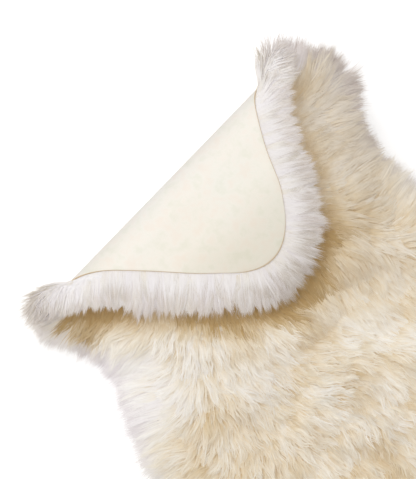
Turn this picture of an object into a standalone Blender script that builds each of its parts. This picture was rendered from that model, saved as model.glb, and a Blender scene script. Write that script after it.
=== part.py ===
"""Sheepskin rug lying wool side up, its neck end turned over onto the wool."""

import math
import random

import bmesh
import bpy
from mathutils import Vector, noise

MODEL_NAME = "sheepskin_rug"

# All sizes are in metres. The pelt is shaped flat first, in three coordinates:
# along: from the fold line towards the tail, negative on the neck that is turned over
# across: along the fold line, negative on the left of a viewer who looks from the tail
# height: from the bare skin side into the wool

# The edge of the tanned hide, one row for each station along the pelt.
HIDE_COLUMNS = ("along", "left", "right")
HIDE_OUTLINE = (
    (-0.185, -0.048, 0.077),
    (-0.155, -0.078, 0.100),
    (-0.105, -0.121, 0.125),
    (-0.060, -0.162, 0.153),
    (-0.024, -0.198, 0.180),
    (0.010, -0.226, 0.210),
    (0.045, -0.239, 0.241),
    (0.070, -0.229, 0.252),
    (0.095, -0.217, 0.256),
    (0.125, -0.211, 0.240),
    (0.158, -0.213, 0.217),
    (0.200, -0.224, 0.204),
    (0.245, -0.251, 0.200),
    (0.300, -0.280, 0.205),
    (0.380, -0.297, 0.216),
    (0.480, -0.304, 0.228),
    (0.570, -0.306, 0.234),
    (0.635, -0.295, 0.219),
    (0.685, -0.256, 0.172),
    (0.720, -0.204, 0.110),
)
NECK_END_ROUNDING = 0.036   # how far the middle of the neck's end stands beyond its corners
TAIL_END_ROUNDING = 0.036
END_ROUNDING_POWER = 9      # keeps the rounding to the rows next to the ends
ROWS = 54                   # grid rows along the pelt
EDGE_STEPS = 600            # short steps in which the edge is measured
COLUMNS = 12                # grid columns across it

HIDE_THICKNESS = 0.002
CLEARANCE = 0.0003          # between the hide and the wool

# The fold.
BEND_RADIUS = 0.0415        # of the skin side
FLAP_DIP = math.radians(4)  # how far the turned-over neck slopes down from the bend
FLAP_WAVE = 0.0016          # soft unevenness of the turned-over neck
FLAP_WAVE_LENGTH = 0.16
FLAP_LENGTH = NECK_END_ROUNDING - HIDE_OUTLINE[0][0]

# The wool, measured from the skin side.
PILE_OPEN = 0.045           # where nothing lies on it
PILE_PRESSED = 0.035        # on the body, under the turned-over neck
PILE_NECK = 0.033           # on the turned-over neck
PILE_CREASE = 0.0380        # inside the bend
PRESSED_EDGE = (0.040, 0.095)   # past the neck's edge, where the pressed pile springs back
BEND_EDGE = (0.040, 0.090)      # along the body, where the pile leaves the bend
LUMP_SIZE = 0.075
LUMP_OPEN = 0.016
LUMP_PRESSED = 0.0015

# The wool's rim beyond the edge of the hide.
RIM_TUCK = 0.012            # where the wool has reached the floor
RIM_REACH = 0.038           # where the slab ends and the locks begin
RIM_FALL_OPEN = 0.42        # share of the pile's height lost at the slab's end
RIM_FALL_NECK = 0.12
RIM_FALL_FOLD = 0.34        # opens the crease at the two ends of the fold
NECK_SHOULDER = 0.011       # how far the neck's rim has sunk below the hide
FOLD_END_REACH = 1.35       # the rim is wider at the two ends of the fold
FOLD_END_LENGTH = 0.07
FOLD_END_BULGE = {"left": 0.030, "right": 0.045}    # wool that swells out past the fold line

# The locks around the rim, one on each facet of the rim.
LOCK_PARTING = 0.0016       # half the gap between two roots
LOCK_LENGTH = (0.015, 0.031)
LOCK_LENGTH_MOST = 1.9      # of its root's width, so that no lock reaches its neighbour
LOCK_SWAY = 0.3             # of its root's width
LOCK_TIP_WIDTH = 0.36
LOCK_TIP_HEIGHT = 0.34
LOCK_DROOP_NECK = 0.004
LOCK_FLARE = 0.008          # how far the locks at the fold's ends spread past the fold line
LOCK_SEED = 12

COLOURS = {
    "hide": (0.880, 0.835, 0.700),
    "wool": (0.830, 0.790, 0.680),
}
ROUGHNESS = {"hide": 0.78, "wool": 0.95}
SHARP_ANGLE = math.radians(40)


def smooth_step(start, end, value):
    share = min(max((value - start) / (end - start), 0.0), 1.0)
    return share * share * (3.0 - 2.0 * share)


def mix(first, second, share):
    return first + (second - first) * share


def outline_at(column, along):
    """Read a column of the outline between its rows, on a smooth curve through them."""
    places = [row[0] for row in HIDE_OUTLINE]
    values = [row[HIDE_COLUMNS.index(column)] for row in HIDE_OUTLINE]
    along = min(max(along, places[0]), places[-1])
    last = len(places) - 1
    row = max(index for index in range(last) if places[index] <= along)

    def slope(index):
        before = max(index - 1, 0)
        after = min(index + 1, last)
        return (values[after] - values[before]) / (places[after] - places[before])

    span = places[row + 1] - places[row]
    share = (along - places[row]) / span
    square = share * share
    cube = square * share
    return (
        values[row] * (2 * cube - 3 * square + 1)
        + slope(row) * span * (cube - 2 * square + share)
        + values[row + 1] * (3 * square - 2 * cube)
        + slope(row + 1) * span * (cube - square)
    )


def stations(count):
    """Places along the pelt that divide its edge into equal lengths."""
    steps = EDGE_STEPS
    start = HIDE_OUTLINE[0][0]
    end = HIDE_OUTLINE[-1][0]
    fine = [mix(start, end, step / steps) for step in range(steps + 1)]
    lengths = [0.0]
    for before, after in zip(fine, fine[1:]):
        left = outline_at("left", after) - outline_at("left", before)
        right = outline_at("right", after) - outline_at("right", before)
        run = after - before
        lengths.append(lengths[-1] + (math.hypot(run, left) + math.hypot(run, right)) / 2)
    places = []
    for index in range(count + 1):
        wanted = lengths[-1] * index / count
        step = max(k for k in range(steps) if lengths[k] <= wanted)
        share = (wanted - lengths[step]) / (lengths[step + 1] - lengths[step])
        places.append(mix(fine[step], fine[step + 1], min(share, 1.0)))
    return places


def flat_hide():
    """The hide's outline as a flat triangulated grid, along on X and across on Y."""
    sheet = bmesh.new()
    bmesh.ops.create_grid(sheet, x_segments=ROWS, y_segments=COLUMNS, size=1.0)
    places = stations(ROWS)
    for vert in sheet.verts:
        end_share, side_share = vert.co.x, vert.co.y
        along = places[round((end_share + 1) / 2 * ROWS)]
        left = outline_at("left", along)
        right = outline_at("right", along)
        rounding = NECK_END_ROUNDING if end_share < 0 else TAIL_END_ROUNDING
        vert.co.x = along + rounding * end_share ** END_ROUNDING_POWER * (1 - side_share ** 2)
        vert.co.y = mix(left, right, (side_share + 1) / 2)
    bmesh.ops.triangulate(sheet, faces=sheet.faces[:], quad_method="FIXED")
    return sheet


def grow_rim(sheet, reach_layer, distance):
    """Add one band of faces around the sheet, `distance(along)` beyond its present edge."""
    edges = [edge for edge in sheet.edges if edge.is_boundary]
    outward = {}
    for edge in edges:
        face = edge.link_faces[0]
        run = edge.verts[1].co - edge.verts[0].co
        side = run.cross(Vector((0, 0, 1))).normalized()
        middle = (edge.verts[0].co + edge.verts[1].co) / 2
        if side.dot(middle - face.calc_center_median()) < 0:
            side.negate()
        for vert in edge.verts:
            outward[vert] = outward.get(vert, Vector()) + side
    grown = bmesh.ops.extrude_edge_only(sheet, edges=edges)["geom"]
    new_verts = {part for part in grown if isinstance(part, bmesh.types.BMVert)}
    moves = []
    for vert in new_verts:
        old = next(e.other_vert(vert) for e in vert.link_edges if e.other_vert(vert) in outward)
        step = distance(old.co.x)
        moves.append((vert, old.co + outward[old].normalized() * step, old[reach_layer] + step))
    for vert, place, reach in moves:
        vert.co = place
        vert[reach_layer] = reach


def fold_end(along):
    return math.exp(-(along / FOLD_END_LENGTH) ** 2)


def rim_reach(along):
    return RIM_REACH * mix(1.0, FOLD_END_REACH, fold_end(along))


def past_neck(along, across):
    """Distance outside the edge of the turned-over neck, as it lies on the body."""
    left = outline_at("left", -along)
    right = outline_at("right", -along)
    return max(along - FLAP_LENGTH, left - across, across - right)


def pile_height(along, across, reach):
    """The wool's surface above the skin side."""
    out = min(reach / rim_reach(along), 1.0) ** 2
    bend = smooth_step(FLAP_LENGTH, BEND_RADIUS, abs(along))
    lump = noise.noise(Vector((along, across, 0)) / LUMP_SIZE)
    if along < 0:
        pile = mix(PILE_NECK, PILE_CREASE, bend)
        return (pile + LUMP_PRESSED * lump) * (1 - mix(RIM_FALL_NECK, RIM_FALL_FOLD, bend) * out)
    free = smooth_step(*PRESSED_EDGE, past_neck(along, across)) * smooth_step(*BEND_EDGE, along)
    pile = mix(mix(PILE_PRESSED, PILE_CREASE, bend), PILE_OPEN, free)
    pile += mix(LUMP_PRESSED, LUMP_OPEN, free) * lump
    fall = mix(mix(RIM_FALL_NECK, RIM_FALL_FOLD, bend), RIM_FALL_OPEN, free)
    return pile * (1 - fall * out)


def fold_line_share(along):
    """1 on the fold line, 0 where the pelt is level again."""
    return math.sin(min(bend_turn(along), math.pi)) ** 4


def skin_height(along, across, reach):
    """The wool's underside: on the hide, and beyond its edge down to the floor."""
    over_hide = HIDE_THICKNESS + CLEARANCE
    turn = bend_turn(along)
    on_floor = over_hide * (1 - smooth_step(0, RIM_TUCK, reach))
    out = min(reach / rim_reach(along), 1.0)
    on_neck = mix(over_hide, NECK_SHOULDER, out)
    bulge = FOLD_END_BULGE["left" if across < 0 else "right"]
    swell = bulge * fold_line_share(along) * out
    return mix(on_floor, on_neck, smooth_step(0, math.pi, turn)) - swell


def bend_turn(along):
    """How far the pelt has turned at a place along it, from 0 on the floor."""
    turn = math.pi / 2 - along / BEND_RADIUS
    return min(max(turn, 0.0), math.pi + FLAP_DIP)


def lay(point):
    """Carry a point of the flat pelt to its place on the folded one."""
    along, across, height = point
    turn = bend_turn(along)
    straight = along - BEND_RADIUS * (math.pi / 2 - turn)
    back = math.sin(turn) * (BEND_RADIUS - height) - math.cos(turn) * straight
    up = BEND_RADIUS - math.cos(turn) * (BEND_RADIUS - height) - math.sin(turn) * straight
    on_neck = smooth_step(BEND_RADIUS, FLAP_LENGTH, -along)
    wave = noise.noise(Vector((along, across, 0)) / FLAP_WAVE_LENGTH)
    return Vector((across, back, up + FLAP_WAVE * on_neck * wave))


def thicken(sheet, lower, upper):
    """Turn the sheet into a closed slab and return the faces of its rim."""
    raised = bmesh.ops.extrude_face_region(sheet, geom=sheet.faces[:])["geom"]
    top = {part for part in raised if isinstance(part, bmesh.types.BMVert)}
    for vert in sheet.verts:
        vert.co.z = upper(vert) if vert in top else lower(vert)
    if sheet.calc_volume(signed=True) < 0:
        bmesh.ops.reverse_faces(sheet, faces=sheet.faces[:])
    raised_corners = {face: sum(vert in top for vert in face.verts) for face in sheet.faces}
    return [face for face, count in raised_corners.items() if 0 < count < len(face.verts)]


def outward_ways(rim):
    """The level direction in which each facet of the rim faces, evened with its neighbours."""
    facets = set(rim)
    ways = {}
    for face in rim:
        total = 2 * face.normal
        for edge in face.edges:
            for other in edge.link_faces:
                if other is not face and other in facets:
                    total = total + other.normal
        ways[face] = Vector((total.x, total.y, 0)).normalized()
    return ways


def draw_locks(slab, rim):
    """Part the rim's facets and draw each of them out into a tapering lock."""
    chance = random.Random(LOCK_SEED)
    slab.normal_update()
    ways = outward_ways(rim)
    bmesh.ops.inset_individual(slab, faces=rim, thickness=LOCK_PARTING, use_even_offset=True)
    rim.sort(key=lambda face: tuple(face.calc_center_median()))
    for face in rim:
        middle = face.calc_center_median()
        floor = min(vert.co.z for vert in face.verts)
        outward = ways[face]
        sideways = Vector((-outward.y, outward.x, 0))
        sides = [(vert.co - middle).dot(sideways) for vert in face.verts]
        width = max(sides) - min(sides)
        length = min(chance.uniform(*LOCK_LENGTH), LOCK_LENGTH_MOST * width)
        sway = chance.uniform(-LOCK_SWAY, LOCK_SWAY) * width
        tip = bmesh.ops.extrude_discrete_faces(slab, faces=[face])["faces"][0]
        neck = smooth_step(0, math.pi, bend_turn(middle.x))
        for vert in tip.verts:
            side = (vert.co - middle).dot(sideways)
            vert.co -= sideways * side * (1 - LOCK_TIP_WIDTH)
            vert.co += outward * length + sideways * sway
            on_floor = (vert.co.z - floor) * LOCK_TIP_HEIGHT
            on_neck = middle.z + (vert.co.z - middle.z) * LOCK_TIP_HEIGHT + LOCK_DROOP_NECK
            vert.co.z = mix(on_floor, on_neck, neck) - LOCK_FLARE * fold_line_share(middle.x)


def hide_shape():
    slab = flat_hide()
    thicken(slab, lambda vert: 0.0, lambda vert: HIDE_THICKNESS)
    return slab


def wool_shape():
    slab = flat_hide()
    reach = slab.verts.layers.float.new("reach")
    grow_rim(slab, reach, lambda along: RIM_TUCK)
    grow_rim(slab, reach, lambda along: rim_reach(along) - RIM_TUCK)
    rim = thicken(
        slab,
        lambda vert: skin_height(vert.co.x, vert.co.y, vert[reach]),
        lambda vert: pile_height(vert.co.x, vert.co.y, vert[reach]),
    )
    draw_locks(slab, rim)
    return slab


def plain_material(name):
    material = bpy.data.materials.new(name)
    material.use_nodes = True
    shader = material.node_tree.nodes["Principled BSDF"]
    shader.inputs["Base Color"].default_value = (*COLOURS[name], 1.0)
    shader.inputs["Roughness"].default_value = ROUGHNESS[name]
    shader.inputs["Metallic"].default_value = 0.0
    return material


def add_piece(name, shape, collection):
    for vert in shape.verts:
        vert.co = lay(vert.co)
    mesh = bpy.data.meshes.new(name)
    shape.to_mesh(mesh)
    shape.free()
    mesh.shade_smooth()
    mesh.set_sharp_from_angle(angle=SHARP_ANGLE)
    mesh.materials.append(plain_material(name))
    piece = bpy.data.objects.new(name, mesh)
    collection.objects.link(piece)
    return piece


def centre_over_origin(pieces):
    """Stand the middle of the rug's box over the origin."""
    places = [vert.co for piece in pieces for vert in piece.data.vertices]
    middle = Vector((0, 0, 0))
    for axis in (0, 1):
        values = [place[axis] for place in places]
        middle[axis] = (min(values) + max(values)) / 2
    for piece in pieces:
        for vert in piece.data.vertices:
            vert.co -= middle


def main():
    for old in list(bpy.data.objects):
        bpy.data.objects.remove(old, do_unlink=True)
    collection = bpy.data.collections.new(MODEL_NAME)
    bpy.context.scene.collection.children.link(collection)
    pieces = [
        add_piece("hide", hide_shape(), collection),
        add_piece("wool", wool_shape(), collection),
    ]
    centre_over_origin(pieces)


main()
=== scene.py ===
import math
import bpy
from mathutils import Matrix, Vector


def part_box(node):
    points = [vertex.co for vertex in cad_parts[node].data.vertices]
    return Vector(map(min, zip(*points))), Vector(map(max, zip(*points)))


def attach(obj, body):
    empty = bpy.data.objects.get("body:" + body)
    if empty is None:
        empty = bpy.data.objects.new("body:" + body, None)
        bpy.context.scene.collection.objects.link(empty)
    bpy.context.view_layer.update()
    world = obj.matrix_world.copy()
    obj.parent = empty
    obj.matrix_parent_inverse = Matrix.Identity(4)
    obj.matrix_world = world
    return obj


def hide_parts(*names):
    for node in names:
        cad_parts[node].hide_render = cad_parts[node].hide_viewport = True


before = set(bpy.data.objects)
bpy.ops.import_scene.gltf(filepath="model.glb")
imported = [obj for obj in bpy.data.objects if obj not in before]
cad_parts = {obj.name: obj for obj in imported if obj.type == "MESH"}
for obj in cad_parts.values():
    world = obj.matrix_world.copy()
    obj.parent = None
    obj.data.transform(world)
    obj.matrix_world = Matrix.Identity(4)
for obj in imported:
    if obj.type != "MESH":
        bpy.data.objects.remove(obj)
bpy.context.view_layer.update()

from types import SimpleNamespace

import bmesh
import bpy
from mathutils import Vector, kdtree, noise

print("frame loaded")


# The sheepskin is shaped flat and then turned over, in the same three coordinates as the CAD:
# along (from the fold line to the tail), across (to the right seen from the tail), and
# height (from the bare skin side into the wool). All sizes are in metres.
pelt = {
    "edge": (  # along, left, right
        (-0.185, -0.048, 0.077),
        (-0.155, -0.078, 0.100),
        (-0.105, -0.121, 0.125),
        (-0.060, -0.162, 0.153),
        (-0.024, -0.198, 0.180),
        (0.010, -0.226, 0.210),
        (0.045, -0.239, 0.241),
        (0.070, -0.229, 0.252),
        (0.095, -0.217, 0.256),
        (0.125, -0.211, 0.240),
        (0.158, -0.213, 0.217),
        (0.200, -0.224, 0.204),
        (0.245, -0.251, 0.200),
        (0.300, -0.280, 0.205),
        (0.380, -0.297, 0.216),
        (0.480, -0.304, 0.228),
        (0.570, -0.306, 0.234),
        (0.635, -0.295, 0.219),
        (0.685, -0.256, 0.172),
        (0.720, -0.204, 0.110),
    ),
    "endRounding": 0.036,
    "roundingPower": 9,
    "bendRadius": 0.0415,
    "flapDip": math.radians(4),
    "flapWave": 0.0016,
    "flapWaveLength": 0.16,
    "measuredRows": (300, 120),  # how finely the outline is measured, along and across
    "neckPastFold": 0.05,  # how far past the fold line the edge still counts as the neck's
}
flapLength = pelt["endRounding"] - pelt["edge"][0][0]
tailEnd = pelt["edge"][-1][0] + pelt["endRounding"]
widestLeft = min(row[1] for row in pelt["edge"])
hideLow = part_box("hide")[0]
foldX = hideLow.x - widestLeft
foldY = hideLow.y + tailEnd - pelt["bendRadius"] * math.pi / 2


def smoothStep(start, end, value):
    share = min(max((value - start) / (end - start), 0.0), 1.0)
    return share * share * (3.0 - 2.0 * share)


def mix(first, second, share):
    return first + (second - first) * share


noiseLayers = {"wave": 0, "lump": 0, "clump": 3, "tuft": 4, "tint": 5, "parting": 6, "comb": 7, "ripple": 9}


def uneven(layer, along, across, size):
    # Smooth chance, about -1 to 1, which differs from layer to layer
    return noise.noise(Vector((along, across, noiseLayers[layer])) / size)


def edgeAt(side, along):
    rows = pelt["edge"]
    column = {"left": 1, "right": 2}[side]
    last = len(rows) - 1
    along = min(max(along, rows[0][0]), rows[-1][0])
    row = max(index for index in range(last) if rows[index][0] <= along)

    def slope(index):
        before, after = rows[max(index - 1, 0)], rows[min(index + 1, last)]
        return (after[column] - before[column]) / (after[0] - before[0])

    span = rows[row + 1][0] - rows[row][0]
    share = (along - rows[row][0]) / span
    square, cube = share ** 2, share ** 3
    return (
        rows[row][column] * (2 * cube - 3 * square + 1)
        + slope(row) * span * (cube - 2 * square + share)
        + rows[row + 1][column] * (3 * square - 2 * cube)
        + slope(row + 1) * span * (cube - square)
    )


def edgeStations(count, steps=600):
    # Places along the pelt that divide its edge into equal lengths
    fine = [mix(pelt["edge"][0][0], pelt["edge"][-1][0], step / steps) for step in range(steps + 1)]
    lengths = [0.0]
    for before, after in zip(fine, fine[1:]):
        left = edgeAt("left", after) - edgeAt("left", before)
        right = edgeAt("right", after) - edgeAt("right", before)
        run = after - before
        lengths.append(lengths[-1] + (math.hypot(run, left) + math.hypot(run, right)) / 2)
    places, step = [], 0
    for index in range(count + 1):
        wanted = lengths[-1] * index / count
        while step < steps - 1 and lengths[step + 1] <= wanted:
            step += 1
        share = (wanted - lengths[step]) / (lengths[step + 1] - lengths[step])
        places.append(mix(fine[step], fine[step + 1], min(share, 1.0)))
    return places


def bendTurn(along):
    turn = math.pi / 2 - along / pelt["bendRadius"]
    return min(max(turn, 0.0), math.pi + pelt["flapDip"])


def layOut(along, across, height):
    # Carry a point of the flat pelt to its place on the folded rug
    radius = pelt["bendRadius"]
    turn = bendTurn(along)
    straight = along - radius * (math.pi / 2 - turn)
    back = math.sin(turn) * (radius - height) - math.cos(turn) * straight
    up = radius - math.cos(turn) * (radius - height) - math.sin(turn) * straight
    onNeck = smoothStep(radius, flapLength, -along)
    wave = uneven("wave", along, across, pelt["flapWaveLength"])
    return Vector((across + foldX, back + foldY, up + pelt["flapWave"] * onNeck * wave))


def layWay(place, way, step=0.001):
    # Carry a direction at a flat place to the folded rug
    turned = layOut(*(place + way.normalized() * step)) - layOut(*place)
    return turned.normalized()


def peltGrid(rowCount, columnCount, band=0.0):
    # The pelt's outline as a flat grid, with one narrow band of faces round it if asked
    steps = edgeStations(rowCount)
    rows = [(2 * index / rowCount - 1, place) for index, place in enumerate(steps)]
    columns = [2 * index / columnCount - 1 for index in range(columnCount + 1)]
    if band:
        first, last = (2 * band / gap / rowCount for gap in (steps[1] - steps[0], steps[-1] - steps[-2]))
        rows.insert(1, (rows[0][0] + first, steps[0] + band))
        rows.insert(-1, (rows[-1][0] - last, steps[-1] - band))
        columns.insert(1, None)
        columns.insert(-1, None)
    sheet = bmesh.new()
    bmesh.ops.create_grid(sheet, x_segments=len(rows) - 1, y_segments=len(columns) - 1, size=1.0)
    for vert in sheet.verts:
        endShare, along = rows[round((vert.co.x + 1) / 2 * (len(rows) - 1))]
        column = round((vert.co.y + 1) / 2 * (len(columns) - 1))
        left, right = edgeAt("left", along), edgeAt("right", along)
        sideShare = columns[column]
        if sideShare is None:
            sideShare = (1 if column > 1 else -1) * (1 - 2 * band / (right - left))
        rounding = pelt["endRounding"] * endShare ** pelt["roundingPower"] * (1 - sideShare ** 2)
        vert.co = (along + rounding, mix(left, right, (sideShare + 1) / 2), 0)
    return sheet


def outlineTree(turnedOver=False):
    # The pelt's outline as a tree to measure from, or its neck's as it lies turned over on the body
    sheet = peltGrid(*pelt["measuredRows"])
    points = [vert.co.copy() for vert in sheet.verts if vert.is_boundary]
    sheet.free()
    if turnedOver:
        points = [Vector((-point.x, point.y, 0)) for point in points if point.x < pelt["neckPastFold"]]
    tree = kdtree.KDTree(len(points))
    for index, point in enumerate(points):
        tree.insert(point, index)
    tree.balance()
    return tree


outline = outlineTree()
neckOutline = outlineTree(turnedOver=True)


def nearestEdge(along, across, step=0.002, reachOfPull=0.03, leastPull=1e-9):
    # The distance to the hide's edge, and the flat direction in which the edges around pull the wool
    pulls = [(along + flapLength, Vector((-1, 0, 0))), (tailEnd - along, Vector((1, 0, 0)))]
    for side, sign in (("left", -1), ("right", 1)):
        edge = edgeAt(side, along)
        slope = (edgeAt(side, along + step) - edgeAt(side, along - step)) / (2 * step)
        pulls.append(((edge - across) * sign, Vector((-slope * sign, sign, 0)).normalized()))
    pull = sum((way * math.exp(-max(away, 0.0) / reachOfPull) for away, way in pulls), Vector())
    way = pull.normalized() if pull.length > leastPull else Vector((1, 0, 0))
    return outline.find((along, across, 0))[2], way


def foldLineShare(along):
    return math.sin(min(bendTurn(along), math.pi)) ** 4


def pastNeck(along, across):
    # Distance outside the edge of the turned-over neck, as it lies on the body
    left, right = edgeAt("left", -along), edgeAt("right", -along)
    side = (2 * across - left - right) / (right - left)
    end = pelt["endRounding"] * (1 - side ** 2) - pelt["edge"][0][0]
    distance = neckOutline.find((along, across, 0))[2]
    return -distance if abs(side) < 1 and along < end else distance


# Nodes are added through these few lines, in the wool's tree and in every material. Apart from addNode,
# they find the tree by the sockets that are passed in.
def plug(value, socket):
    if isinstance(value, bpy.types.NodeSocket):
        socket.id_data.links.new(value, socket)
    else:
        socket.default_value = value


def addNode(tree, kind, sockets=None, **settings):
    node = tree.nodes.new(kind)
    for name, value in settings.items():
        setattr(node, name, value)
    for key, value in (sockets or {}).items():
        plug(value, node.inputs[key])
    return node


def treeOf(values):
    return next(value.id_data for value in values if isinstance(value, bpy.types.NodeSocket))


def number(operation, *values, clamp=False):
    node = addNode(treeOf(values), "ShaderNodeMath", dict(enumerate(values)), operation=operation)
    node.use_clamp = clamp
    return node.outputs[0]


def plus(first, second):
    return number("ADD", first, second)


def minus(first, second):
    return number("SUBTRACT", first, second)


def over(first, second):
    return number("DIVIDE", first, second)


def times(first, *others):
    for value in others:
        first = number("MULTIPLY", first, value)
    return first


def timesPlus(first, second, extra):
    return number("MULTIPLY_ADD", first, second, extra)


def arrow(operation, *values, output="Vector"):
    node = addNode(treeOf(values), "ShaderNodeVectorMath", dict(enumerate(values)), operation=operation)
    return node.outputs[output]


def unit(way):
    return arrow("NORMALIZE", way)


def stretched(way, factor):
    sockets = {0: way, "Scale": factor}
    return addNode(way.id_data, "ShaderNodeVectorMath", sockets, operation="SCALE").outputs["Vector"]


def parts(way):
    return addNode(way.id_data, "ShaderNodeSeparateXYZ", {0: way}).outputs


def joined(x, y, z):
    return addNode(treeOf((x, y, z)), "ShaderNodeCombineXYZ", {0: x, 1: y, 2: z}).outputs[0]


def totalOf(first, *others):
    for way in others:
        first = arrow("ADD", first, way)
    return first


def newObject(name, data):
    thing = bpy.data.objects.new(name, data)
    bpy.context.scene.collection.objects.link(thing)
    return thing


def finishedPiece(name, mesh, node):
    piece = newObject(name, mesh)
    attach(piece, "root")
    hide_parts(node)
    return piece


def inOrder(shape):
    # The shape's points and faces in an order that never changes, so that chance falls the same way
    points = sorted(shape.verts, key=lambda vert: tuple(round(value, 6) for value in vert.co))
    place = {vert: index for index, vert in enumerate(points)}
    faces = []
    for face in shape.faces:
        corners = [place[vert] for vert in face.verts]
        first = corners.index(min(corners))
        faces.append(tuple(corners[first:] + corners[:first]))
    return points, sorted(faces)


def meshOf(name, places, faces, facts=None):
    # A smooth mesh with one stored fact for each point and name
    mesh = bpy.data.meshes.new(name)
    mesh.from_pydata(places, [], faces)
    for key, values in (facts or {}).items():
        if isinstance(values[0], Vector):
            flat = [number for value in values for number in value]
            mesh.attributes.new(key, "FLOAT_VECTOR", "POINT").data.foreach_set("vector", flat)
        else:
            mesh.attributes.new(key, "FLOAT", "POINT").data.foreach_set("value", values)
    mesh.shade_smooth()
    return mesh


# The tanned hide, a thin sheet with its cut edge.
hide = {
    "rows": 130,
    "columns": 44,
    "thickness": 0.0019,
    "cutEdge": 0.0013,
    "edgeDrop": 0.0005,
}


def hideMesh():
    sheet = peltGrid(hide["rows"], hide["columns"], hide["cutEdge"])
    edge = sheet.verts.layers.float.new("edge")
    for vert in sheet.verts:
        vert[edge] = 1.0 if vert.is_boundary else 0.0
    flatArea = sum(face.calc_area() for face in sheet.faces)
    raised = bmesh.ops.extrude_face_region(sheet, geom=sheet.faces[:])["geom"]
    woolSide = {part for part in raised if isinstance(part, bmesh.types.BMVert)}
    for vert in sheet.verts:
        vert.co.z = hide["thickness"] if vert in woolSide else hide["edgeDrop"] * vert[edge]
    if sheet.calc_volume(signed=True) < 0:
        bmesh.ops.reverse_faces(sheet, faces=sheet.faces[:])
    points, faces = inOrder(sheet)
    facts = {"cutEdge": [vert[edge] for vert in points], "peltPlace": [vert.co.copy() for vert in points]}
    mesh = meshOf("hideSheet", [layOut(*vert.co) for vert in points], faces, facts)
    sheet.free()
    return mesh, flatArea


# The dense wool underneath, which shows between the locks.
underWool = {
    "rows": 150,
    "columns": 46,
    "bands": (0.006, 0.013, 0.021, 0.029),  # how far out the rim's rows of faces reach
    "open": 0.0385,  # heights of the pile on the open body, under the neck, on the neck and in the bend
    "pressed": 0.030,
    "neck": 0.028,
    "crease": 0.033,
    "thinnest": 0.004,
    "freePastNeck": (0.050, 0.105),  # it rises to its open height over these distances
    "freePastFold": (0.040, 0.090),
    "lump": 0.014,
    "lumpSize": 0.075,
    "tuft": 0.005,
    "neckTuft": 0.0015,
    "tuftSize": 0.036,
    "rimDrop": (0.45, 0.68),  # share of its height that it loses at the rim, pressed and open
    "shoulder": 0.013,
    "shoulderPower": 1.6,
    "overHide": 0.0004,
    "floorReach": 0.012,
    "ripple": 0.0025,
    "rippleSize": 0.03,
    "wider": 1.35,  # the rim on the neck and at the fold's two ends
    "foldEndLength": 0.07,
}
foldEnds = {  # at the fold's two ends the wool swells and leans out past the fold line
    "left": {
        "bulge": 0.024, "round": 2.0, "fan": 1.1, "sag": 0.35,
        "lean": 0.9, "leanNeck": 0.035, "leanBody": 0.030,
    },
    "right": {
        "bulge": 0.026, "round": 1.5, "fan": 0.2, "sag": 0.08,
        "lean": 1.0, "leanNeck": 0.085, "leanBody": 0.085,
    },
}


def foldEnd(along):
    return math.exp(-(along / underWool["foldEndLength"]) ** 2)


def rimScale(along):
    return mix(1.0, underWool["wider"], foldEnd(max(along, 0.0)))


def foldEndAt(across):
    return foldEnds["left" if across < 0 else "right"]


def foldBulge(across, out):
    end = foldEndAt(across)
    return end["bulge"] * math.sin(end["round"] * out)


def foldLean(along, across):
    end = foldEndAt(across)
    return end["lean"] * math.exp(-(along / end["leanNeck" if along < 0 else "leanBody"]) ** 2)


def growRim(sheet, layers, distance):
    # Add one band of faces round the sheet, further out by the distance
    reachLayer, outLayer = layers
    edges = [edge for edge in sheet.edges if edge.is_boundary]
    outward = {}
    for edge in edges:
        face = edge.link_faces[0]
        run = edge.verts[1].co - edge.verts[0].co
        side = run.cross(Vector((0, 0, 1))).normalized()
        if side.dot((edge.verts[0].co + edge.verts[1].co) / 2 - face.calc_center_median()) < 0:
            side.negate()
        for vert in edge.verts:
            outward[vert] = outward.get(vert, Vector()) + side
    grown = bmesh.ops.extrude_edge_only(sheet, edges=edges)["geom"]
    moves = []
    for vert in {part for part in grown if isinstance(part, bmesh.types.BMVert)}:
        old = next(e.other_vert(vert) for e in vert.link_edges if e.other_vert(vert) in outward)
        way = outward[old].normalized()
        old[outLayer] = way
        moves.append((vert, old.co + way * distance * rimScale(old.co.x), old[reachLayer] + distance, way))
    for vert, place, reach, way in moves:
        vert.co = place
        vert[reachLayer] = reach
        vert[outLayer] = way


def underTop(along, across, reach):
    out = reach / underWool["bands"][-1]
    bend = smoothStep(flapLength, pelt["bendRadius"], abs(along))
    lump = uneven("lump", along, across, underWool["lumpSize"])
    tuft = uneven("tuft", along, across, underWool["tuftSize"])
    dropPressed, dropOpen = underWool["rimDrop"]
    if along < 0:
        pile = mix(underWool["neck"], underWool["crease"], bend) + underWool["neckTuft"] * tuft
        return pile * (1 - dropPressed * out ** 2)
    free = smoothStep(*underWool["freePastNeck"], pastNeck(along, across))
    free *= smoothStep(*underWool["freePastFold"], along)
    pile = mix(mix(underWool["pressed"], underWool["crease"], bend), underWool["open"], free)
    pile += free * (underWool["lump"] * lump + underWool["tuft"] * tuft)
    return pile * (1 - mix(dropPressed, dropOpen, free) * out ** 2)


def underSkin(along, across, reach):
    out = reach / underWool["bands"][-1]
    overHide = hide["thickness"] + underWool["overHide"]
    onFloor = overHide * (1 - smoothStep(0, underWool["floorReach"], reach))
    ripple = underWool["ripple"] * out * uneven("ripple", along, across, underWool["rippleSize"])
    onNeck = mix(overHide, underWool["shoulder"], out ** underWool["shoulderPower"]) + ripple
    skin = mix(onFloor, onNeck, smoothStep(0, math.pi, bendTurn(along)))
    return skin - foldBulge(across, out) * foldLineShare(along)


def underSlope(along, across, reach, out, onTop, step=0.003):
    # How steeply the under wool's surface rises along, across and outwards, as one flat direction
    height = underTop if onTop else underSkin
    here = height(along, across, reach)
    riseAlong = height(along + step, across, reach) - here
    riseAcross = height(along, across + step, reach) - here
    slope = Vector((riseAlong, riseAcross, 0)) / step
    if reach > 0:
        slope += out * (height(along, across, reach + step) - here) / step
    return slope


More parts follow.
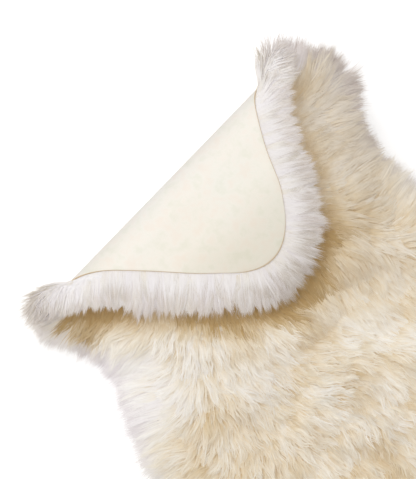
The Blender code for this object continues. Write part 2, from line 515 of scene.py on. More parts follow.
# Where the fleece differs from place to place on the pelt: a whorl turns the locks, in degrees. The tone and
# shade columns hold the fleece's own lighter and tanner places and also painted shade: in the crease beside
# the neck's wool, in the hollow on the left and where the neck's wool rounds away from the light at its
# corner.
patchColumns = ("along", "across", "size", "turn", "curl", "tone", "shade", "longer")
patches = (
    (-0.015, 0.235, 0.035, 0, -0.9, 0.15, -0.05, 0.010),
    (0.000, 0.265, 0.032, 0, -0.6, 0.50, 0.15, 0.000),
    (0.062, 0.278, 0.022, 0, 0.0, 0.00, -0.20, 0.000),
    # painted shadow in the crease by the ear
    (0.080, 0.236, 0.030, 0, 0.0, -0.30, -0.12, 0.000),
    # painted shadow in the crease on the right, beside the neck's wool
    (0.230, 0.105, 0.031, 0, 0.0, -0.24, -0.32, 0.000),
    (0.260, 0.090, 0.026, 0, 0.0, -0.08, -0.10, 0.000),
    (0.250, 0.140, 0.030, 0, 0.0, -0.03, -0.05, 0.000),
    (0.154, 0.180, 0.025, 0, 0.0, -0.16, -0.14, 0.000),
    (0.281, 0.045, 0.030, 0, 0.0, -0.10, -0.20, 0.000),
    (0.150, -0.262, 0.030, 0, 0.0, 0.00, 0.22, 0.000),
    (-0.225, 0.095, 0.036, 0, 0.0, 0.00, 0.42, 0.000),
    # painted shadow in the crease by the neck's corner
    (0.285, -0.005, 0.035, 0, 0.0, -0.10, -0.35, 0.000),
    (-0.107, 0.173, 0.050, 0, 0.0, 0.00, 0.10, 0.000),
    (-0.110, -0.147, 0.013, 0, 0.0, 0.00, 0.05, 0.013),
    (-0.152, -0.104, 0.013, 0, 0.0, 0.00, 0.05, 0.009),
    (-0.060, -0.200, 0.045, 0, 0.0, 0.00, 0.05, -0.011),
    (-0.005, -0.245, 0.040, 0, -0.9, 0.12, -0.36, 0.000),
    (-0.010, -0.280, 0.045, 0, 0.0, 0.25, 0.00, 0.000),
    # these two rows: painted shade where the neck's wool rounds away from the light at its corner
    (-0.194, 0.110, 0.055, 0, 0.0, -0.03, -0.24, 0.000),
    (-0.250, 0.034, 0.070, 0, 0.0, -0.12, -0.70, 0.000),
    # painted shadow in the hollow on the left, beside the neck's wool
    (0.085, -0.222, 0.026, 0, 0.3, -0.30, -0.46, -0.006),
    (0.075, 0.262, 0.050, 0, -0.9, 0.20, -0.25, 0.018),
    (0.100, 0.300, 0.045, 0, -0.4, 0.05, -0.10, 0.009),
    (0.120, 0.240, 0.085, 0, -0.9, 0.10, -0.68, 0.000),
    (0.200, 0.160, 0.150, 0, -0.9, 0.06, -0.28, 0.000),
    (0.230, 0.190, 0.080, -15, -0.9, -0.04, -0.20, 0.000),
    (0.300, 0.090, 0.065, -35, -0.8, -0.14, -0.28, 0.000),
    (0.330, -0.050, 0.040, 0, -0.4, 0.08, 0.08, 0.000),
    (0.401, 0.047, 0.055, 0, -0.3, 0.12, 0.17, 0.000),
    (0.313, -0.135, 0.060, 25, 0.5, 0.00, -0.18, 0.000),
    (0.241, -0.190, 0.060, 10, 0.2, 0.06, 0.05, 0.000),
    (0.397, -0.077, 0.070, 45, 0.5, 0.00, 0.05, 0.000),
    (0.467, -0.070, 0.060, -30, 0.3, -0.06, -0.15, 0.000),
    (0.115, -0.241, 0.045, 15, 0.0, 0.32, 0.08, 0.000),
    (0.218, -0.264, 0.060, 5, -0.8, 0.30, 0.14, 0.000),
    (0.165, -0.195, 0.050, 0, -0.5, 0.12, 0.05, 0.000),
    (0.270, -0.240, 0.050, 0, -0.5, 0.08, 0.05, 0.000),
)


def patchValue(column, along, across):
    total, wanted = 0.0, patchColumns.index(column)
    for patch in patches:
        away = math.hypot(along - patch[0], across - patch[1]) / patch[2]
        total += patch[wanted] * math.exp(-away ** 2)
    return total


fleece = {
    "length": 0.038,
    "edgeLength": 0.060,
    "shortest": 0.02,
    "edgeBand": 0.03,  # this near to the edge, the locks grow towards their length at the edge
    "edgeShare": 0.6,
    "neckShare": 0.85,
    "lift": 0.0075,
    "edgeLift": 0.0015,
    "pressedLift": 0.5,
    "springPastNeck": (0.02, 0.09),
    "curl": 0.0027,
    "edgeCurl": 0.12,
    "rimCurl": 0.7,
    "leastCurl": 0.08,
    "swirl": 0.75,
    "swirlSize": 0.11,
    "fanAtFold": math.radians(78),
    "fanAtTail": math.radians(50),
    "fanFrom": (0.10, 0.45),
    "turnOut": (0.075, 0.012),  # between these distances the locks turn to point out over the edge
    "clumpTurn": 0.35,
    "clumpSize": 0.022,
    "clumpLength": 0.16,
    "neckTurn": (0.3, 2.6),  # between these turns of the bend the body's wool becomes the neck's
    "flatTurn": 1.2,  # past this turn no lock rises
    "bowInside": 0.3,
    "steepest": 0.22,
    "rimSlope": 0.35,
    "softTilt": 0.4,
    "looseAtFold": 0.8,  # how much less the locks hold together there and where the wool is calm
    "looseWhenCalm": 0.7,
}


def turnedWay(way, turn):
    cosine, sine = math.cos(turn), math.sin(turn)
    return Vector((way.x * cosine - way.y * sine, way.x * sine + way.y * cosine, 0))


def combWay(along, across, reach, out):
    # The flat direction in which the locks lie
    distance, towards = nearestEdge(along, across)
    if out.length > 0:
        towards = out
    if reach > 0:
        return turnedWay(out, fleece["clumpTurn"] * uneven("comb", along, across, fleece["clumpSize"]))
    left, right = edgeAt("left", along), edgeAt("right", along)
    side = max(min((2 * across - left - right) / (right - left), 1), -1)
    turn = side * mix(fleece["fanAtFold"], fleece["fanAtTail"], smoothStep(*fleece["fanFrom"], along))
    swirl = fleece["swirl"] * uneven("comb", along, across, fleece["swirlSize"])
    turn += swirl + math.radians(patchValue("turn", along, across))
    way = turnedWay(Vector((1, 0, 0)), turn)
    return way.lerp(towards, smoothStep(*fleece["turnOut"], distance)).normalized()


def underWoolMesh():
    # The under wool, with what the locks need to know stored on its points
    sheet = peltGrid(underWool["rows"], underWool["columns"])
    layers = (sheet.verts.layers.float.new("reach"), sheet.verts.layers.float_vector.new("outward"))
    before = 0.0
    for reach in underWool["bands"]:
        growRim(sheet, layers, reach - before)
        before = reach
    raised = bmesh.ops.extrude_face_region(sheet, geom=sheet.faces[:])["geom"]
    top = {part for part in raised if isinstance(part, bmesh.types.BMVert)}
    for vert in sheet.verts:
        along, across, reach = vert.co.x, vert.co.y, vert[layers[0]]
        skin = underSkin(along, across, reach)
        thinnest = skin + underWool["thinnest"]
        vert.co.z = max(underTop(along, across, reach), thinnest) if vert in top else skin
    if sheet.calc_volume(signed=True) < 0:
        bmesh.ops.reverse_faces(sheet, faces=sheet.faces[:])
    points, faces = inOrder(sheet)
    rows = [woolFacts(vert.co.copy(), vert[layers[0]], vert[layers[1]], vert in top) for vert in points]
    facts = {name: [row[name] for row in rows] for name in rows[0]}
    mesh = meshOf("underWool", [layOut(*vert.co) for vert in points], faces, facts)
    sheet.free()
    return mesh


def woolFacts(place, reach, out, onTop):
    # What the locks need to know at one point of the under wool
    along, across = place.x, place.y
    spot = SimpleNamespace(place=place, along=along, across=across, reach=reach, out=out, onTop=onTop)
    spot.past = pastNeck(along, across) if along > 0 else 0.0
    spot.distance = nearestEdge(along, across)[0]
    spot.turn = bendTurn(along)
    spot.onNeck = smoothStep(*fleece["neckTurn"], spot.turn)
    spot.rim = smoothStep(0, underWool["bands"][1], reach)
    spot.tail = tailShare(along, across)
    spot.clump = uneven("clump", along, across, fleece["clumpSize"])
    spot.calm = min(max(-patchValue("curl", along, across), 0.0), 1.0)
    return {**shapeFacts(spot), **colourFacts(spot), **densityFacts(spot)}


def shapeFacts(spot, tiny=1e-6):
    # Where the locks point, how long and how wavy they are, and how softly they are lit
    along, across, reach, onNeck, rim = spot.along, spot.across, spot.reach, spot.onNeck, spot.rim
    end = foldEndAt(across)
    nearEdge = smoothStep(fleece["edgeBand"], 0.0, spot.distance)
    fan = 1 + end["fan"] * (0.5 - reach / underWool["bands"][-1])
    bow = foldLean(along, across) * nearEdge * fan * (1.0 if reach > 0 else fleece["bowInside"])
    comb = combWay(along, across, reach, spot.out)
    slope = underSlope(along, across, reach, spot.out, spot.onTop)
    comb.z = slope.dot(comb) * (fleece["rimSlope"] if reach > 0 else 1.0)
    slope *= min(1.0, fleece["steepest"] / max(slope.length, tiny))
    lie = (layWay(spot.place, comb) + Vector((0, bow, 0))).normalized()
    lie.z = min(lie.z, 1 - smoothStep(0.0, fleece["flatTurn"], spot.turn))
    side = 1 if spot.onTop else -1
    face = layWay(spot.place, Vector((-slope.x, -slope.y, 1)) * side)
    share, tilt = foldLineShare(along), fleece["softTilt"]
    softFace = Vector((face.x, face.y * (1 - share), abs(face.z))) + Vector((0, tilt * share, tilt + rim))
    longer = patchValue("longer", along, across)
    edgeLength = fleece["edgeLength"] * (1 + fleece["clumpLength"] * spot.clump) + longer
    edgeLength = max(edgeLength - reach * rimScale(along), fleece["shortest"])
    lockLength = mix(fleece["length"], edgeLength, max(nearEdge * fleece["edgeShare"], rim))
    if onNeck > 0.5 and reach == 0 and not spot.onTop:
        lockLength = fleece["neckShare"] * edgeLength + spot.distance
    spring = mix(fleece["pressedLift"], 1, smoothStep(*fleece["springPastNeck"], spot.past))
    flatter = max(onNeck, rim * fleece["rimCurl"])
    curl = mix(1, fleece["edgeCurl"], flatter) + patchValue("curl", along, across)
    return {
        "comb": lie.normalized(),
        "rise": layWay(spot.place, Vector((0, 0, side))),
        "softFace": softFace.normalized(),
        "sag": Vector((0, -bow * end["sag"], 0)),
        "lockLength": lockLength,
        "lift": mix(fleece["lift"] * spring, fleece["edgeLift"], max(onNeck, rim)),
        "curl": fleece["curl"] * max(curl, fleece["leastCurl"]),
        "together": (1 - fleece["looseAtFold"] * foldEnd(along)) * (1 - fleece["looseWhenCalm"] * spot.calm),
    }


# Tone runs from tan at 0 to a pinkish white at 1, and shade from dark at 0 to full light at 1.
tints = {
    "tone": 0.5,
    "shade": 0.75,
    "rimTone": 0.30,
    "neckTone": 0.92,
    "neckClumpTone": 0.12,
    "spots": ((0.26, 0.055), (0.18, 0.022)),  # strength and size
    "parting": 0.16,  # tanner and darker lines between the locks: the deeper wool's tan and painted shade in the gaps
    "partingSize": 0.042,
    "partingWidth": 0.14,
    "mostTint": 0.16,
    "tintShade": 0.5,
    "calmer": 0.7,
    "plainerTail": 0.45,
    "creasePast": (0.086, 0.036),  # the crease, painted shadow with some of the deeper wool's own tan, darkens between these distances from the neck's edge
    "creaseAtRim": 0.6,
    "creaseTone": (0.54, 0.42),  # on the left and towards the ear
    "creaseShade": (0.30, 0.42),
    "corner": (-0.20, -0.05),  # where, across the pelt, the crease changes from its corner's strength
    "cornerDark": (0.9, 1.2),
    "ear": (0.0, 0.12),
    "earDark": 0.58,
}


def colourFacts(spot):
    # How warm and how dark the wool is
    along, across, rim = spot.along, spot.across, spot.rim
    tint = sum(size * uneven("tint", along, across, spread) for size, spread in tints["spots"])
    # partings: the deeper wool's tan and painted shade along the gaps between the locks
    betweenLocks = abs(uneven("parting", along, across, tints["partingSize"]))
    parting = smoothStep(tints["partingWidth"], 0.0, betweenLocks)
    tint = (tint - tints["parting"] * parting) * (1 - rim)
    tint *= 1 - tints["calmer"] * spot.calm
    tint *= 1 - tints["plainerTail"] * spot.tail
    # painted shadow in the crease, strongest at the left corner and weaker towards the ear, lowers tone and
    # shade
    towardsEar = smoothStep(*tints["ear"], across)
    corner = mix(*tints["cornerDark"], smoothStep(*tints["corner"], across))
    dark = crease(along, spot.past, rim) * mix(corner, tints["earDark"], towardsEar)
    tone = tints["tone"] + patchValue("tone", along, across)
    tone += min(tint, tints["mostTint"])
    tone += tints["rimTone"] * rim
    tone = mix(tone, tints["neckTone"] + tints["neckClumpTone"] * spot.clump, spot.onNeck)
    shade = tints["shade"] + patchValue("shade", along, across)
    shade -= mix(*tints["creaseShade"], towardsEar) * dark
    # a lower tint also lowers the shade, so the partings get painted shade as well as tan
    return {
        "tone": tone - mix(*tints["creaseTone"], towardsEar) * dark,
        "shade": shade + tints["tintShade"] * min(tint, 0.0),
    }


def crease(along, past, rim):
    # 1 in the dark hollow beside the tips of the turned-over neck's wool, where painted shadow, with some of
    # the deeper wool's own tan, lowers the tone and shade
    if along < 0:
        return 0.0
    return smoothStep(*tints["creasePast"], past) * (1 - tints["creaseAtRim"] * rim)


growth = {
    "left": -0.11,  # the body's wool is in three pieces, which meet at these two lines
    "right": 0.01,
    "underNeck": 0.025,  # it goes on this far under the neck
    "alongEdge": 0.02,  # and this far in from the hide's edge, also where the neck lies on it
    "rimBelow": (0.10, 0.03),
    "neckSkinSide": (0.016, 0.004),
    "neckWoolSide": (0.03, 0.005),
    "neckWoolShare": 0.4,
    "thick": {"along": 0.075, "across": -0.215, "size": 0.03, "more": 0.8},  # in the left hollow
    "tail": (  # parts of along and across, and the two sums between which the tail's wool takes over
        (0.730, 0.683, 0.395, 0.455),
        (0.668, -0.714, 0.475, 0.535),
    ),
}


def tailShare(along, across):
    # 1 on the tail half, where the strands are wider and fewer
    return max(smoothStep(start, end, x * along + y * across) for x, y, start, end in growth["tail"])


def neckDensity(reach, onTop, distance):
    if reach > 0:
        return 1.0
    if not onTop:
        return smoothStep(*growth["neckSkinSide"], distance)
    return growth["neckWoolShare"] * smoothStep(*growth["neckWoolSide"], distance)


def densityFacts(spot):
    # How thickly each piece of wool grows, as a share of its locks per square metre
    facts = dict.fromkeys(woolPieces, 0.0)
    if spot.onNeck > 0.5:
        facts["neckWool"] = neckDensity(spot.reach, spot.onTop, spot.distance)
    elif spot.reach > 0:
        covered = 1.0 if spot.onTop else smoothStep(*growth["rimBelow"], spot.along)
        facts["rimWool"], facts["rimTail"] = covered * (1 - spot.tail), covered * spot.tail
    elif spot.onTop and (spot.past > -growth["underNeck"] or spot.distance < growth["alongEdge"]):
        body = "bodyRight" if spot.across > growth["right"] else "bodyMiddle"
        if spot.across < growth["left"]:
            body = "bodyLeft"
        thick = growth["thick"]
        away = math.hypot(spot.along - thick["along"], spot.across - thick["across"]) / thick["size"]
        facts[body] = (1 + thick["more"] * math.exp(-away ** 2)) * (1 - spot.tail)
        facts["bodyTail"] = spot.tail
    return facts


# One bundle of strands, a narrow tapering ribbon each, is what every lock is made from.
bundle = {"strands": 12, "straight": (0.0, 0.36, 0.72, 1.0), "wavy": (0.0, 0.28, 0.54, 0.78, 1.0)}


def strandBundle(name, stations):
    places, faces, facts = [], [], {"strand": [], "alongStrand": [], "ribbonSide": []}
    for strand in range(bundle["strands"]):
        before = None
        for station in stations:
            row = []
            for side in (0.0,) if station == stations[-1] else (-1.0, 1.0):
                row.append(len(places))
                places.append((station, side, strand))
                for values, value in zip(facts.values(), (float(strand), station, side)):
                    values.append(value)
            if before:
                faces.append((before[0], *row, before[1]))
            before = row
    return newObject(name, meshOf(name, places, faces, facts))


# The pieces of wool. Every entry but the bundle is an input of the wool's tree.
looseWool = {  # for the neck's wool and the rim's, where they don't say otherwise
    "bundle": "straight", "Lock depth": 0.0018, "Gather late": 2.5, "Roll": 0.3, "Wave length": 0.04,
    "Sway": 0.25, "Own wave": 0.5, "Crimp light": 1.5, "Arc": 0.2, "Tone spread": 0.05,
}
bodyWool = {  # and for the body's
    "bundle": "wavy", "Locks per square metre": 25000.0, "Lock width": 0.008, "Lock depth": 0.0012,
    "Tip gather": 0.75, "Gather late": 2.0, "Strand width": 0.0008, "Roll": 0.3, "Wave length": 0.02,
    "Sway": 0.26, "Droop": 0.12, "Length spread": 0.25, "Own wave": 0.5, "Crimp light": 2.2, "Arc": 0.25,
    "Tone spread": 0.07, "Lock roundness": 0.1, "Lock lean": 0.05, "Clump size": 0.012, "Clump pull": 0.25,
    "Clump taper": 0.1, "Clump shade": 0.1,
}
woolPieces = {
    "neckWool": {
        **looseWool, "Locks per square metre": 44500.0, "Lock width": 0.007, "Lock depth": 0.0009,
        "Tip gather": 0.4, "Gather late": 5.0, "Strand width": 0.0007, "Wave length": 0.05, "Sway": 0.11,
        "Droop": 0.10, "Length spread": 0.55, "Arc": 0.12, "Tone spread": 0.04, "Lock roundness": 0.12,
        "Lock lean": 0.06, "Clump size": 0.014, "Clump pull": 0.8, "Clump taper": 0.35, "Clump shade": 0.9,
        "Seed": 3,
    },
    "rimWool": {
        **looseWool, "Locks per square metre": 52000.0, "Lock width": 0.01, "Tip gather": 0.9,
        "Strand width": 0.0006, "Droop": 0.15, "Length spread": 0.45, "Lock roundness": 0.15,
        "Lock lean": 0.07, "Clump size": 0.012, "Clump pull": 0.3, "Clump taper": 0.1, "Clump shade": 0.3,
        "Seed": 5,
    },
    "rimTail": {
        **looseWool, "Locks per square metre": 19500.0, "Lock width": 0.012, "Tip gather": 0.6,
        "Strand width": 0.0009, "Droop": 0.2, "Length spread": 0.4, "Crimp light": 3.0,
        "Lock roundness": 0.3, "Lock lean": 0.12, "Clump size": 0.014, "Clump pull": 0.4, "Clump taper": 0.2,
        "Clump shade": 0.2, "Seed": 6,
    },
    "bodyRight": {**bodyWool, "Seed": 7},
    "bodyMiddle": {**bodyWool, "Seed": 8},
    "bodyLeft": {**bodyWool, "Seed": 9},
    "bodyTail": {
        **bodyWool, "Locks per square metre": 8500.0, "Lock width": 0.009, "Lock depth": 0.004,
        "Tip gather": 0.6, "Gather late": 1.6, "Strand width": 0.0014, "Roll": 0.35, "Wave length": 0.024,
        "Sway": 0.35, "Crimp light": 1.8, "Arc": 0.28, "Tone spread": 0.08, "Lock roundness": 0.12,
        "Clump size": 0.014, "Clump pull": 0.3, "Clump taper": 0.15, "Clump shade": 0.12, "Seed": 11,
    },
}


strands = {  # what all the pieces of wool share
    "chance": {"lockA": 11.0, "lockB": 23.0, "strandA": 31.5, "strandB": 77.5, "wisp": 51.5},
    "wispsPerLock": 3.0,
    "wispPull": 0.7,
    "liveliest": 0.75,  # added to the calmest by the curl
    "calmest": 0.25,
    "clumpReach": 0.6,
    "lockLengths": (0.42, 0.78),  # spread and shortest, as shares of the length here
    "longestInLock": 1.10,
    "longest": 0.084,
    "waveGrowth": 2.6,  # the waves are whole past this part, 1 / 2.6, of a strand
    "waveSizes": (0.6, 0.7),  # spread and smallest
    "waveStrength": 4.0,
    "waveUp": 0.35,
    "lifts": (0.25, 0.85),
    "tipTaper": 0.75,
    "aboveFloor": 0.0008,
    "roundAcross": 0.8,
    "toneOfStrand": 0.4,
    "toneOfDark": 0.5,
    "shadeOfClump": 0.08,
    "shadeOfStrand": 0.08,
    "shadeOfWisp": 0.14,
    "colourSteps": 12.0,  # of tone, and of shade
    "belowStep": 0.001,
    "mapSide": 0.35,  # half the width that a ribbon takes of its cell on the map
    "mapAlong": (0.96, 0.02),
}


def lockTree():
    # Scatters locks over the under wool and bends each strand where the stored facts say
    tree = bpy.data.node_groups.new("woolLocks", "GeometryNodeTree")
    inputs = {"Geometry": "Geometry", "Where": "String", "Strand bundle": "Object", "Wool": "Material"}
    inputs.update((name, "Float") for name in bodyWool if name != "bundle")
    inputs["Seed"] = "Int"
    tree.interface.new_socket(name="Geometry", in_out="OUTPUT", socket_type="NodeSocketGeometry")
    for name, kind in inputs.items():
        tree.interface.new_socket(name=name, in_out="INPUT", socket_type="NodeSocket" + kind)

    def made(kind, sockets=None, **settings):
        return addNode(tree, kind, sockets, **settings).outputs

    def stored(name, kind="FLOAT"):
        return made("GeometryNodeInputNamedAttribute", {"Name": name}, data_type=kind)["Attribute"]

    def storedWay(name):
        return stored(name, "FLOAT_VECTOR")

    def keep(geometry, name, value, kind="FLOAT", domain="POINT"):
        sockets = {"Geometry": geometry, "Name": name, "Value": value}
        return made("GeometryNodeStoreNamedAttribute", sockets, data_type=kind, domain=domain)[0]

    def chances(which):  # three chances from 0 to 1, which each lock keeps from run to run
        place = joined(lock, which, given["Seed"])
        return parts(made("ShaderNodeTexWhiteNoise", {"Vector": place}, noise_dimensions="3D")["Color"])

    def around(value, size):  # from -size to size
        return times(minus(value, 0.5), times(size, 2.0))

    given = made("NodeGroupInput")
    wanted = times(stored(given["Where"]), given["Locks per square metre"])
    sockets = {"Mesh": given["Geometry"], "Density": wanted, "Seed": given["Seed"]}
    points = made("GeometryNodeDistributePointsOnFaces", sockets, distribute_method="RANDOM")["Points"]
    points = keep(points, "lock", made("GeometryNodeInputIndex")[0])
    points = keep(points, "rootAt", made("GeometryNodeInputPosition")[0], "FLOAT_VECTOR")
    strandMesh = made("GeometryNodeObjectInfo", {"Object": given["Strand bundle"]})["Geometry"]
    placed = made("GeometryNodeInstanceOnPoints", {"Points": points, "Instance": strandMesh})[0]
    real = made("GeometryNodeRealizeInstances", {0: placed})[0]

    share, side, strand, lock = (stored(name) for name in ("alongStrand", "ribbonSide", "strand", "lock"))
    chance = strands["chance"]
    lockA, lockB = chances(chance["lockA"]), chances(chance["lockB"])
    strandA, strandB = chances(plus(strand, chance["strandA"])), chances(plus(strand, chance["strandB"]))
    wispNumber = number("FLOOR", times(strandA[2], strands["wispsPerLock"]))
    wispPlace = over(plus(wispNumber, 0.5), strands["wispsPerLock"])
    wisp = chances(plus(wispPlace, chance["wisp"]))

    together, root = stored("together"), storedWay("rootAt")
    rise = unit(storedWay("rise"))
    sway = around(lockA[0], times(given["Sway"], together))
    sockets = {"Vector": storedWay("comb"), "Axis": rise, "Angle": sway}
    ahead = unit(made("ShaderNodeVectorRotate", sockets, rotation_type="AXIS_ANGLE")[0])
    aside = unit(arrow("CROSS_PRODUCT", rise, ahead))

    # where the wool lies smooth, its locks stand out less
    curlShare = number("DIVIDE", stored("curl"), fleece["curl"], clamp=True)
    liveliness = timesPlus(curlShare, strands["liveliest"], strands["calmest"])

    # neighbouring locks draw together at their tips into clumps, which share their waves and colour
    comb = unit(storedWay("comb"))
    sideways = unit(arrow("CROSS_PRODUCT", rise, comb))
    end = arrow("ADD", root, stretched(comb, stored("lockLength")))
    sockets = {"Vector": end, "Scale": over(1.0, given["Clump size"])}
    clump = made("ShaderNodeTexVoronoi", sockets, voronoi_dimensions="3D", feature="F1")
    clumpA = parts(clump["Color"])
    toMiddle = arrow("DOT_PRODUCT", arrow("SUBTRACT", clump["Position"], end), sideways, output="Value")
    offMiddle = over(toMiddle, times(given["Clump size"], strands["clumpReach"]))
    outerShare = number("MULTIPLY", offMiddle, offMiddle, clamp=True)

    # length of this strand, and how far the lock has drawn together here
    length = times(stored("lockLength"), timesPlus(lockA[1], *strands["lockLengths"]))
    tapered = times(outerShare, times(given["Clump taper"], together))
    length = times(length, minus(1.0, tapered))
    shorter = times(minus(1.0, strandA[0]), given["Length spread"])
    length = times(length, minus(strands["longestInLock"], shorter))
    length = number("MINIMUM", length, strands["longest"])
    square = times(share, share)
    late = number("POWER", share, given["Gather late"])
    gather = timesPlus(late, minus(given["Tip gather"], 1.0), 1.0)

    # waves, from a smooth noise at the strand's unbent place
    waveSize = times(stored("curl"), number("MULTIPLY", share, strands["waveGrowth"], clamp=True))
    waveSize = times(waveSize, timesPlus(lockB[0], *strands["waveSizes"]))
    goAhead = times(length, share)
    unbent = arrow("ADD", root, stretched(ahead, goAhead))
    half = (0.5, 0.5, 0.5)
    ownWay = arrow("SUBTRACT", joined(clumpA[0], wisp[1], wisp[2]), half)
    unbent = arrow("ADD", unbent, stretched(ownWay, times(given["Wave length"], given["Own wave"])))
    sockets = {"Vector": unbent, "Scale": over(1.0, given["Wave length"]), "Detail": 0.0}
    waveNoise = made("ShaderNodeTexNoise", sockets, noise_dimensions="3D")["Color"]
    wave = parts(stretched(arrow("SUBTRACT", waveNoise, half), strands["waveStrength"]))

    # the other two parts of its place: aside and up from its root
    inWisp = timesPlus(times(minus(wispPlace, strandA[2]), late), strands["wispPull"], strandA[2])
    goAside = times(around(inWisp, times(given["Lock width"], 0.5)), gather)
    arc = times(around(clumpA[2], given["Arc"]), length, square)
    pulled = times(times(toMiddle, given["Clump pull"]), times(late, together))
    goAside = plus(plus(goAside, pulled), plus(arc, times(waveSize, wave[0])))
    goUp = times(minus(times(share, 2.0), square), stored("lift"))
    goUp = times(goUp, timesPlus(lockB[2], *strands["lifts"]))
    goUp = plus(goUp, times(around(strandB[0], times(given["Lock depth"], 0.5)), liveliness))
    goUp = plus(goUp, times(waveSize, strands["waveUp"], wave[1]))
    bend = times(length, square)
    droop = joined(0.0, 0.0, times(given["Droop"], bend, -1.0))

    # the ribbon's own width, rolled round the strand
    roll = around(strandB[1], given["Roll"])
    taper = minus(1.0, times(square, strands["tipTaper"]))
    halfWidth = times(times(side, taper), times(given["Strand width"], 0.5))
    flat = unit(arrow("CROSS_PRODUCT", (0.0, 0.0, 1.0), ahead))
    upright = arrow("CROSS_PRODUCT", ahead, flat)
    widthWay = totalOf(stretched(flat, number("COSINE", roll)), stretched(upright, number("SINE", roll)))

    place = totalOf(
        root, stretched(ahead, goAhead), stretched(aside, goAside), stretched(rise, goUp),
        stretched(widthWay, halfWidth), stretched(storedWay("sag"), bend), droop,
    )
    x, y, z = parts(place)
    place = joined(x, y, number("MAXIMUM", z, strands["aboveFloor"]))
    moved = made("GeometryNodeSetPosition", {"Geometry": real, "Position": place})[0]

    # every strand is lit as part of the soft surface that the wool makes, rounded a little over each lock
    roundness = times(given["Lock roundness"], liveliness)
    leaning = times(given["Lock lean"], liveliness)
    offRound = minus(times(minus(strandA[2], 0.5), strands["roundAcross"]), offMiddle)
    crimp = times(over(waveSize, given["Wave length"]), times(wave[2], given["Crimp light"]))
    tip = times(minus(share, 0.5), roundness)
    lean = joined(around(lockB[1], leaning), around(lockB[2], leaning), 0.0)
    acrossLock, alongLock = stretched(aside, times(offRound, roundness)), stretched(ahead, plus(crimp, tip))
    softWay = unit(totalOf(storedWay("softFace"), acrossLock, alongLock, lean))
    sockets = {"Mesh": moved, "Custom Normal": softWay}
    moved = made("GeometryNodeSetMeshNormal", sockets, mode="FREE", domain="POINT")[0]

    # colour facts, in steps so that strands of one colour share their place on the OFBake map
    steps = strands["colourSteps"]
    # the outer strands of each clump are darker and tanner: painted shade between the clumps
    darker = times(outerShare, given["Clump shade"], liveliness)
    tone = plus(stored("tone"), around(strandB[2], times(given["Tone spread"], strands["toneOfStrand"])))
    tone = plus(tone, around(clumpA[0], given["Tone spread"]))
    tone = number("SUBTRACT", tone, times(darker, strands["toneOfDark"]), clamp=True)
    toneStep = number("FLOOR", times(tone, steps - strands["belowStep"]))
    shade = stored("shade")
    shade = plus(shade, around(clumpA[1], times(liveliness, strands["shadeOfClump"])))
    shade = plus(shade, around(strandA[1], times(liveliness, strands["shadeOfStrand"])))
    shade = plus(shade, around(wisp[0], times(liveliness, strands["shadeOfWisp"])))
    shade = number("SUBTRACT", shade, darker, clamp=True)
    shadeStep = number("FLOOR", times(shade, steps - strands["belowStep"]))
    moved = keep(moved, "tone", over(toneStep, steps - 1.0))
    moved = keep(moved, "shade", over(shadeStep, steps - 1.0))
    cell = over(plus(plus(toneStep, 0.5), times(side, strands["mapSide"])), steps)
    mapPlace = joined(over(plus(shadeStep, cell), steps), timesPlus(share, *strands["mapAlong"]), 0.0)
    moved = keep(moved, "OFBake", mapPlace, "FLOAT2", "CORNER")
    dressed = made("GeometryNodeSetMaterial", {"Geometry": moved, "Material": given["Wool"]})[0]
    plug(dressed, addNode(tree, "NodeGroupOutput").inputs[0])
    return tree


def setInput(modifier, name, value):
    items = modifier.node_group.interface.items_tree
    socket = next(item for item in items if item.name == name and item.in_out == "INPUT")
    modifier[socket.identifier] = value


def keepFacts(mesh, *facts):
    for name in [item.name for item in mesh.attributes]:
        layer = mesh.attributes[name]
        if not (layer.is_internal or layer.is_required or name in (*facts, "material_index", "sharp_face")):
            mesh.attributes.remove(layer)


def growLocks(name, settings, rootMesh, bundles, tree, material):
    carrier = newObject(name + "Root", rootMesh)
    modifier = carrier.modifiers.new("woolLocks", "NODES")
    modifier.node_group = tree
    setInput(modifier, "Where", name)
    setInput(modifier, "Strand bundle", bundles[settings["bundle"]])
    setInput(modifier, "Wool", material)
    for key, value in settings.items():
        if key != "bundle":
            setInput(modifier, key, value)
    evaluated = carrier.evaluated_get(bpy.context.evaluated_depsgraph_get())
    mesh = bpy.data.meshes.new_from_object(evaluated)
    carrier.modifiers.clear()
    bpy.data.objects.remove(carrier)
    keepFacts(mesh, "tone", "shade", "alongStrand", "OFBake", "custom_normal")
    mesh.name = name
    mesh.shade_smooth()
    triangles = sum(len(face.vertices) - 2 for face in mesh.polygons)
    print(name, len(mesh.polygons), "faces", triangles, "triangles")
    return finishedPiece(name, mesh, "wool")


white = (1.0, 1.0, 1.0)
woolColours = (
    (0.0, (0.58, 0.43, 0.22)),
    (0.25, (0.78, 0.68, 0.50)),
    (0.5, (0.865, 0.826, 0.738)),
    (0.75, (0.88, 0.865, 0.84)),
    (1.0, (0.83, 0.80, 0.805)),
)
warmth = {"below": 0.95, "strength": 2.2}  # under this tone the wool is darker and warmer towards its roots: the roots' own tan and painted shade deep in the fleece


def newMaterial(name, roughness, sheen=0.0, specular=0.25):
    material = bpy.data.materials.new(name)
    material.use_nodes = True
    shader = material.node_tree.nodes["Principled BSDF"]
    values = {"Roughness": roughness, "Sheen Weight": sheen, "Specular IOR Level": specular}
    for socket, value in values.items():
        shader.inputs[socket].default_value = value
    return material, shader


def fact(tree, name, output="Fac"):
    return addNode(tree, "ShaderNodeAttribute", attribute_name=name).outputs[output]


def rampOf(factor, stops):
    node = addNode(factor.id_data, "ShaderNodeValToRGB", {"Fac": factor})
    ramp = node.color_ramp
    while len(ramp.elements) < len(stops):
        ramp.elements.new(0.5)
    for element, (place, colour) in zip(ramp.elements, stops):
        element.position = place
        element.color = (*colour, 1.0)
    return node.outputs["Color"]


def blend(kind, factor, first, second):
    node = addNode(first.id_data, "ShaderNodeMix", data_type="RGBA", blend_type=kind)
    for name, value in (("Factor", factor), ("A", first), ("B", second)):
        plug(value, node.inputs[name])
    return node.outputs["Result"]


